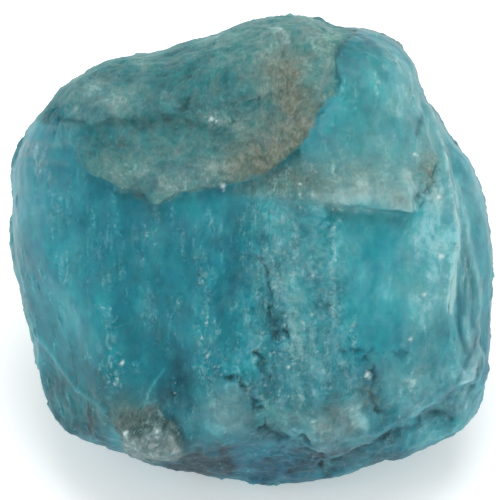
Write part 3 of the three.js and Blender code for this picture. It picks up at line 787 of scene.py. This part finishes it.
# %% Glints
# glints: painted highlights, white spots where a flat grain would shine
GLINTS = [  # the few flat grains that shine white, with their radius in mm
    ((-2.2, 4.9), 0.17), ((14.6, -0.5), 0.15), ((12.6, 7.4), 0.14), ((13.3, -3.4), 0.13),
    ((12.2, -6.9), 0.12), ((8.9, -9.6), 0.18), ((-9.9, -8.7), 0.14), ((-3.1, 10.1), 0.16),
    ((14.4, 4.1), 0.15), ((-2.7, 9.9), 0.09), ((-7.3, -13.9), 0.14), ((-7.2, -14.9), 0.1),
    ((-9.6, -14.0), 0.12), ((2.8, -9.0), 0.11), ((-3.4, -8.1), 0.1),
]

glints = np.zeros(count)
ragged = 1 + 0.8 * waves(0.3, 5.5)
for (place_u, place_v), radius in GLINTS:
    apart = np.hypot(u - place_u, v - place_v) * ragged
    glints = np.maximum(glints, front * step(-apart, -1.6 * radius, -0.3 * radius))
print(len(GLINTS), "glints")

# %% [markdown]
# ## Crust, stain and marks
#
# The crust has tones of its own, from teal where it is thin to a pale grey-green. Where only a film of it is
# left, it lies over the crystal like a veil. Iron has stained it brown along its right border, and a faint
# curl is scratched into its top. Behind, the brown follows old cracks and the weathered patches.

# %% Where the crust shows
CRUST_VEILS = [  # where a thin film of the crust lies over the crystal
    Spot("below the shoulder", (9.3, 5.6), (4.2, 2.2), share=0.55),
    Spot("right of the crust", (4.0, 5.4), (2.8, 1.6), share=0.6),
    Spot("under the crust", (1.2, 4.6), (2.2, 0.9), share=0.7),
    Spot("shoulder's corner", (13.7, 6.0), (0.9, 1.7), share=0.6),
    Spot("around the matrix", (-8.6, -12.4), (2.6, 1.6), share=0.4),
    Spot("foot", (2.0, -12.6), (3.4, 1.6), share=0.3),
]
crust_look = crust * (1 - 0.85 * oval((-14.9, 8.3), (2.1, 1.8)))  # the crust thins out at its left foot
for veil in CRUST_VEILS:
    crust_look += veil.share * oval(veil.place, veil.radii) * (1 - crust)
crust_look = np.clip(crust_look + 0.75 * weathered, 0, 1)
print("the crust shows on", round(100 * float(crust_look.mean())), "% of the skin")

# %% Tones of the crust
CRUST_POOLS = [
    Spot("pale patch", (-13.9, 11.4), (1.4, 1.6), rise=0.16),
    Spot("pale patch, right lobe", (-10.8, 11.6), (1.9, 1.8), rise=0.16),
    Spot("dark band under the shelf", (-9.5, 8.8), (5.6, 1.3), rise=-0.1),
    Spot("middle", (-5.0, 12.0), (3.4, 2.4), rise=-0.12),
    Spot("pale top", (2.8, 15.7), (3.9, 3.0), rise=0.34),
    Spot("glitter", (-2.5, 10.1), (1.2, 0.7), rise=0.25),
    # painted shade in the crust's pit
    Spot("dark pit", (-5.2, 11), (0.5, 0.45), rise=-0.4),
    Spot("teal gap", (-4.3, 12.9), (1.3, 2.4), rise=-0.22),
    Spot("tip", (-7.2, 4.3), (1.3, 0.9), rise=-0.16),
    Spot("right side", (4.8, 13.0), (1.4, 2.2), rise=0.15),
    Spot("left end", (-15.4, 10.6), (1.3, 1.1), rise=-0.5),
]
PALE_EDGE = [(-10.9, 6.4), (-7.3, 4.9), (-3.1, 5.6), (0.8, 6.7)]
PALEST = 0.7  # tones above this are pressed together

crust_tone = np.full(count, 0.48) + 0.3 * (1 - crust)
for pool in CRUST_POOLS:
    crust_tone += pool.rise * oval(pool.place, pool.radii)
# cracks are painted darker in the crust too: a painted shade in them
crust_tone += 0.26 * band(PALE_EDGE, 2.8) + 0.1 * rough(1.3, 4.0) - 0.4 * cracks
crust_tone += 0.3 * shades(1.8, 2.0) + weathered * (0.5 * waves((6, 8, 6), 2.2) - 0.15)
crust_tone = np.where(crust_tone > PALEST, PALEST + 0.35 * (crust_tone - PALEST), crust_tone)
print("crust tone from", round(float(crust_tone.min()), 2), "to", round(float(crust_tone.max()), 2))

# %% Stains and marks
BROWN_STAIN = [(2.6, 13.5), (3.6, 11.6), (3.3, 8.9), (1.3, 7.5), (-0.4, 6.4)]
STAINS = [
    Spot("brow of the matrix", (-9.6, -12.9), (1.8, 0.9), share=0.6),
    Spot("ledge's end", (11.9, 3.7), (0.9, 0.6), share=0.4),
    Spot("shoulder's corner", (13.6, 6.2), (0.7, 1.3), share=0.5),
    Spot("lower right", (9.3, -11.5), (0.9, 0.9), share=0.35),
    Spot("below the crust", (2.8, 5.6), (2.4, 1.0), share=0.5),
    Spot("right foot", (6.4, -13.4), (2.0, 1.8), share=0.35),
    Spot("right side of the crust", (5.2, 13.2), (1.3, 2.2), share=-0.5),
    Spot("ledge", (9.0, 4.6), (3.0, 0.9), share=0.25),
]
CURL = [(1.4, 17.2), (2.3, 17.1), (2.9, 16.4), (2.5, 15.9), (3.0, 16.1)]

stain = crust * band(BROWN_STAIN, 3.9) * (1.0 + 0.4 * rough(1.2, 6.0))
blotchy = 1 + 0.8 * rough(0.7, 2.0)
for spot in STAINS:
    stain += spot.share * oval(spot.place, spot.radii) * blotchy
stain += 0.8 * averaged(seams, 3) * step(waves(3.0, 5.2), -0.2, 0.3)
stain += 0.7 * weathered * step(waves((6, 5, 6), 8.4) + 0.3 * rough(1.4, 3.0), 0.15, 0.5)
stain = np.clip(stain, 0, 1)
# the scratched curl, and the glints, which are painted highlights
marks = np.maximum(0.5 * band(CURL, 0.16, 0.5) * opening, glints)
print("the stain covers", round(100 * float(stain.sum() / crust.sum())), "% of the crust")

# %% Store them on the skin
stored = {
    "tone": tone, "dust": np.clip(dust, 0, 1), "blue": blue, "grainy": grainy, "fissured": fissured,
    "crust": crust_look, "crust_tone": crust_tone, "stain": stain, "matrix": matrix, "plate": plate,
    "marks": marks, "flecks": np.clip(flecks, 0, 1), "hollow": hollow,
}
for name, values in stored.items():
    dense.attributes.new(name, "FLOAT", "POINT").data.foreach_set("value", values.astype(np.float32))
print("stored:", sorted(stored))

# %% A place for the finest noise
DEPTH = 0.55  # the marks on the broken sides are drawn out in depth, away from the broad face
drift = np.array([waves((3, 5, 3), shift) for shift in (1.3, 2.6, 3.9)]).T
bent = bare * (1, 1, DEPTH) + 0.6 * drift
place_layer = dense.attributes.new("place", "FLOAT_VECTOR", "POINT")
place_layer.data.foreach_set("vector", bent.astype(np.float32).ravel())
print("places drift up to", round(0.6 * float(np.abs(drift).max()), 2), "mm")

# %% [markdown]
# ## Writing a finish as arithmetic
#
# A finish is a tree of nodes, and a long one is hard to read as a list of links. A small class wraps one
# output socket, so that `1 - mask` or `tone + 0.1 * speckle` adds the Math nodes by itself. Any other node
# comes from one method, which takes the node's type, its settings and what goes into its sockets.

# %% The socket class
class Wire:
    """One output of a node, which takes part in sums and products."""

    def __init__(self, tree, socket):
        self.tree = tree
        self.socket = socket

    def node(self, kind, settings=None, inputs=None, output=0):
        """Adds a node, sets it up, feeds it and gives one of its outputs."""
        made = self.tree.nodes.new(kind)
        for key, value in (settings or {}).items():
            if key == "stops":
                set_stops(made.color_ramp, value)
            else:
                setattr(made, key, value)
        for key, value in (inputs or {}).items():
            if isinstance(value, Wire):
                self.tree.links.new(value.socket, made.inputs[key])
            else:
                made.inputs[key].default_value = value
        return Wire(self.tree, made.outputs[output])

    def math(self, operation, first, second=0.0):
        return self.node("ShaderNodeMath", {"operation": operation}, {0: first, 1: second})

    def __add__(self, other):
        return self.math("ADD", self, other)

    __radd__ = __add__

    def __mul__(self, other):
        return self.math("MULTIPLY", self, other)

    __rmul__ = __mul__

    def __sub__(self, other):
        return self.math("SUBTRACT", self, other)

    def __rsub__(self, other):
        return self.math("SUBTRACT", other, self)

    def between(self, low, high):
        """0 below low, 1 above high and a smooth rise between."""
        inputs = {"Value": self, "From Min": low, "From Max": high}
        return self.node("ShaderNodeMapRange", {"interpolation_type": "SMOOTHSTEP"}, inputs)

    def ramp(self, stops):
        """A colour for each value, through (position, colour) stops."""
        return self.node("ShaderNodeValToRGB", {"stops": stops}, {0: self})

    def mixed(self, other, factor, blend="MIX"):
        """This colour turned into another one by a factor of 0 to 1."""
        return self.node("ShaderNodeMix", {"data_type": "RGBA", "blend_type": blend, "clamp_factor": True},
                         {0: factor, 6: self, 7: other}, 2)


def set_stops(ramp, stops):
    """Gives a colour ramp its stops."""
    while len(ramp.elements) < len(stops):
        ramp.elements.new(0.5)
    for element, (position, colour) in zip(ramp.elements, stops):
        element.position = position
        element.color = (*colour, 1.0)


# %% [markdown]
# ## The finish of the stone
#
# One finish covers the whole stone, since crust and crystal grade into each other. It reads the tone of each
# point, breaks it up with speckles, flakes and threads finer than the mesh, and picks the colour from two
# ramps of teals, a clear one and a dusty one, which the dust mixes. The crust has a greener ramp. The stain,
# the matrix, pale flecks, small sparks of mica and the marks lie over both. The sparks and the glints among
# the marks are painted white, painted highlights, and the flecks partly so; the curl is a scratch. Hollows
# are painted darker and ridges paler: painted shade and highlight, with bruised edges on the ridges.
# The stone looks clear in places but lets nothing through, so it isn't see-through: light only spreads a
# little below its surface. Fresh beryl has a soft shine, and grain and crust are duller. The finest relief,
# below a tenth of a millimetre, is a bump.

# %% Colours of the crystal
CLEAR = [  # clear beryl, from deep to milky
    (0.0, srgb(8, 60, 70)),
    (0.05, srgb(6, 82, 96)),
    (0.2, srgb(14, 104, 118)),
    (0.4, srgb(26, 127, 142)),
    (0.6, srgb(42, 150, 162)),
    (0.8, srgb(72, 170, 180)),
    (1.0, srgb(132, 206, 212)),
]
DUSTY = [  # the same tones where the stone is greyed
    (0.0, srgb(42, 70, 79)),
    (0.05, srgb(47, 86, 98)),
    (0.2, srgb(62, 107, 118)),
    (0.4, srgb(80, 128, 137)),
    (0.6, srgb(98, 147, 154)),
    (0.8, srgb(123, 170, 175)),
    (1.0, srgb(166, 206, 207)),
]
print(len(CLEAR) + len(DUSTY), "colours of beryl")

# %% Colours of crust, stain and matrix
CRUST_COLOURS = [
    (0.0, srgb(28, 82, 84)),
    (0.25, srgb(52, 108, 110)),
    (0.5, srgb(75, 127, 127)),
    (0.75, srgb(105, 143, 138)),
    (1.0, srgb(152, 183, 175)),
]
STAIN_COLOURS = [(0.2, srgb(74, 89, 79)), (0.5, srgb(107, 120, 108)), (0.8, srgb(140, 150, 137))]
# the white of the scratched curl and of the painted glints and sparks, which are painted highlights
CURL_AND_GLINT_WHITE = srgb(216, 234, 232)
# the pale teal of the flecks, partly pale grains and partly painted glitter
FLECK_COLOUR = srgb(158, 198, 196)
MATRIX_COLOURS = [
    (0.1, srgb(44, 68, 68)),
    (0.35, srgb(74, 100, 98)),
    (0.62, srgb(114, 133, 133)),
    (1.0, srgb(190, 200, 194)),
]
print(len(CRUST_COLOURS), "colours of the crust")

# %% Reading the skin, speckles and flakes
finish = bpy.data.materials.new("raw_beryl")
finish.use_nodes = True
tree = finish.node_tree
shader = tree.nodes["Principled BSDF"]
add = Wire(tree, None).node


def reads(name, output="Fac"):
    """What the skin stores under a name."""
    return add("ShaderNodeAttribute", {"attribute_name": name}, {}, output)


place = reads("place", "Vector")


def speckle(per_mm, stretch=(1.0, 1.0, 1.0), detail=3.0, shift=0.0, curl=0.0):
    """Noise of about -0.5 to 0.5 with so many waves per mm, stretched and curled where asked."""
    moved = add("ShaderNodeMapping", {}, {"Vector": place, "Scale": stretch, "Location": (shift,) * 3})
    inputs = {"Vector": moved, "Scale": per_mm, "Detail": detail, "Roughness": 0.6, "Distortion": curl}
    return add("ShaderNodeTexNoise", {}, inputs) - 0.5


def flakes(size, bend, shift=0.0):
    """A value of about -0.5 to 0.5 for each of many irregular flakes, with their size and bend in mm."""
    curls = add("ShaderNodeTexNoise", {}, {"Vector": place, "Scale": 1.5 / size, "Detail": 2.0}, "Color")
    moved = add("ShaderNodeVectorMath", {"operation": "MULTIPLY_ADD"}, {0: curls, 1: (bend,) * 3, 2: place})
    moved = add("ShaderNodeVectorMath", {"operation": "ADD"}, {0: moved, 1: (shift,) * 3})
    return add("ShaderNodeTexVoronoi", {}, {"Vector": moved, "Scale": 1 / size}, "Color") - 0.5


print("an empty finish:", len(tree.nodes), "nodes")

# %% Noise finer than the mesh
fine = speckle(2.4, (1.0, 0.8, 1.0), shift=1.0, curl=0.6)
grain = speckle(5.0, (1.0, 0.7, 1.0), 2.0, shift=9.0)
fibrous = speckle(2.2, (1.0, 0.3, 1.0), shift=4.0, curl=0.6)
flaky = speckle(2.1, (1.0, 0.7, 1.0), shift=5.0, curl=1.2)
cloudy = speckle(0.5, (1.0, 0.6, 1.0), shift=7.0)
patchy = speckle(1.1, (1.0, 0.6, 1.0), 2.0, shift=3.0)
threads = speckle(2.4, (1.0, 0.12, 1.0), 2.0, shift=6.0)
coarse_flakes = flakes(1.0, 0.9, 2.0)
small_flakes = flakes(0.45, 0.4, 5.0)
crusted = reads("crust")
fissured_here = reads("fissured")
grains = reads("grainy")
hollow_shade_and_ridge_light = reads("hollow")
density = reads("flecks")
print(len(tree.nodes), "nodes of noise")

# %% Colour of the crystal
mottle = 0.5 * cloudy + 0.1 * fibrous + fine * (0.18 + 0.24 * grains) + flaky * (0.08 + 0.3 * density)
mottle = mottle + small_flakes * (0.02 + 0.36 * grains) + coarse_flakes * (0.06 + 0.12 * grains)
mottle = mottle + 0.7 * threads * fissured_here
# the depth of the hollows darkens them, a painted shade, and lightens the ridges, partly bruised edges and
# partly a painted highlight
tone_here = reads("tone") + mottle - hollow_shade_and_ridge_light * 0.3
dust_here = reads("dust") + 0.8 * patchy + (fine + flaky) * grains
colour = tone_here.ramp(CLEAR).mixed(tone_here.ramp(DUSTY), dust_here)
print("crystal:", len(tree.nodes), "nodes")

# %% Crust, stain and matrix over it
# the crust is painted darker in its hollows and paler on its ridges in the same way: painted shade and
# highlight
crust_here = reads("crust_tone") + 0.32 * fine + 0.35 * cloudy + 0.45 * patchy + 0.4 * grain - hollow_shade_and_ridge_light * 1.2
crust_here = crust_here + 0.2 * coarse_flakes + 0.16 * small_flakes
colour = colour.mixed(crust_here.ramp(CRUST_COLOURS), crusted * 0.92)
stained = (0.5 + 0.9 * fine + 0.5 * grain + 0.5 * patchy).ramp(STAIN_COLOURS)
colour = colour.mixed(stained, reads("stain") * (0.95 + 0.8 * patchy))
# and so is the matrix: painted shade in its hollows, painted highlight on its ridges
matrix_here = 0.33 + 0.25 * reads("plate") + 0.7 * fine + 0.6 * flaky + 0.5 * patchy - hollow_shade_and_ridge_light * 1.2
colour = colour.mixed(matrix_here.ramp(MATRIX_COLOURS), reads("matrix") * 0.9)
print("with crust and matrix:", len(tree.nodes), "nodes")

# %% Flecks and sparks of painted glitter, the curl with the painted glints, and hue
# pale flecks, partly pale grains and partly a painted highlight, and white sparks, a painted highlight
fleck = (flaky + 0.5 * grain + 0.2 * density).between(0.1, 0.42)
spark = (flakes(0.2, 0.15, 8.0) + 0.08 * density).between(0.44, 0.47)
colour = colour.mixed((*FLECK_COLOUR, 1.0), fleck * (0.1 + 0.34 * density))
colour = colour.mixed((*CURL_AND_GLINT_WHITE, 1.0), spark * 0.4 * density)
# the curl, and the glints painted white as highlights
colour = colour.mixed((*CURL_AND_GLINT_WHITE, 1.0), reads("marks") * 0.85)
hue = 0.5 + 0.003 * reads("blue")  # 0.5 leaves a colour as it is
hue = hue + 0.04 * speckle(0.8, (1.0, 0.6, 1.0), shift=12.0) + 0.012 * small_flakes
strength = 1.0 + crusted * (0.9 * speckle(0.9, shift=15.0) + 0.3 * small_flakes)
colour = add("ShaderNodeHueSaturation", {}, {"Hue": hue, "Saturation": strength, "Color": colour})
tree.links.new(colour.socket, shader.inputs["Base Color"])
print("base colour:", len(tree.nodes), "nodes")

# %% Fine facets
FACET_SIZE = 0.4  # mm
cells = {"Vector": place, "Scale": 1 / FACET_SIZE}
middle = add("ShaderNodeTexVoronoi", {}, cells, "Position")
lean = add("ShaderNodeTexVoronoi", {}, cells, "Color")
off_middle = add("ShaderNodeVectorMath", {"operation": "SUBTRACT"}, {0: place, 1: middle})
leaning = add("ShaderNodeVectorMath", {"operation": "SUBTRACT"}, {0: lean, 1: (0.5, 0.5, 0.5)})
facets = add("ShaderNodeVectorMath", {"operation": "DOT_PRODUCT"}, {0: off_middle, 1: leaning}, "Value")
print("facets of", FACET_SIZE, "mm")

# %% Shine and fine relief
dullness = 0.4 + 0.2 * crusted + 0.08 * grains + 0.12 * reads("matrix") + 0.3 * fine - 0.15 * fleck
tree.links.new(dullness.socket, shader.inputs["Roughness"])
relief = 0.25 * fine * (0.3 + grains + crusted) + 0.08 * fibrous + 0.2 * fleck * density
relief = relief + 0.8 * facets * (0.1 + grains + 0.5 * crusted) + 0.6 * threads * fissured_here
bump = add("ShaderNodeBump", {}, {"Height": relief, "Strength": 0.6, "Distance": 0.3 * MM})
tree.links.new(bump.socket, shader.inputs["Normal"])
shader.inputs["IOR"].default_value = 1.58
shader.inputs["Specular IOR Level"].default_value = 0.2
shader.inputs["Subsurface Weight"].default_value = 0.6
shader.inputs["Subsurface Radius"].default_value = (0.3, 1.0, 1.2)
shader.inputs["Subsurface Scale"].default_value = 0.7 * MM
stone.data.materials.append(finish)
print("finish:", len(tree.nodes), "nodes")

# %% [markdown]
# ## Hand the piece over
#
# The dense skin stands for the stone's solid, which stays in the frame for weight and contact. It rides on
# the only body there is. The two boxes are written side by side, to show that the carving left the size alone.

# %% Ride, replace, measure
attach(stone, "root")
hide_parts("aquamarine")
visual_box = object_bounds()
sizes = {"cad": [list(corner) for corner in cad_box], "visual": [list(corner) for corner in visual_box]}
for key, box in sizes.items():
    print(key, "box in mm:", [[round(c / MM, 2) for c in corner] for corner in box])
